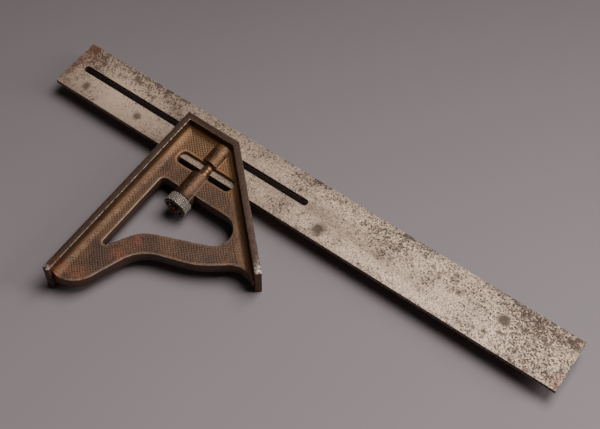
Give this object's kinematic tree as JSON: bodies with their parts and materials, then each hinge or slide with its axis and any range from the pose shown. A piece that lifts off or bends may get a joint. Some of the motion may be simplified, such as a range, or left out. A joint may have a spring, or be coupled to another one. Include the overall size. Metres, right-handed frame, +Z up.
{
  "type": "combination square",
  "caption": "Combination square: a slotted steel rule clamped in a cast iron head with square and mitre faces, set by a forked bolt and a knurled nut.",
  "frame": {"origin": "corner where the line of the rule's seat meets the square (90 degree) face, on the plane that the head rests on", "axes": "+X along the rule, away from the square face into the head; +Y across the rule, away from its seat; +Z up through the head's thickness"},
  "size_m": [0.3048, 0.1227, 0.0191],
  "materials": {
    "cast_head": "checkered cast iron with a brown rust patina, worn on the rims",
    "rule_steel": "old ground steel, dulled, pitted and stained",
    "bolt_steel": "turned steel with a brown patina",
    "pin_steel": "drawn steel",
    "spring_wire": "blued spring wire",
    "nut_steel": "knurled steel, worn bright on the diamonds"
  },
  "bodies": {
    "head": {"stock": "cast_head", "clamp_spring": "spring_wire"},
    "rule": {"rule": "rule_steel"},
    "bolt": {"clamp_bolt": "bolt_steel", "cross_pin": "pin_steel"},
    "nut": {"clamp_nut": "nut_steel"}
  },
  "joints": [
    {"name": "rule_slide", "type": "slide", "parent": "head", "child": "rule", "axis": [1, 0, 0], "range_m": [-0.0511, 0.0916]},
    {"name": "nut_spin", "type": "hinge", "parent": "head", "child": "nut", "pos_m": [0.0262, -0.0225, 0.00953], "axis": [0, -1, 0], "range_deg": [0, 121]},
    {"name": "bolt_draw", "type": "slide", "parent": "head", "child": "bolt", "axis": [0, 1, 0], "range_m": [0, 0.0003]}
  ],
  "couplings": [
    {"joint": "nut_spin", "follows": "bolt_draw", "rad_per_m": 6981.3}
  ]
}
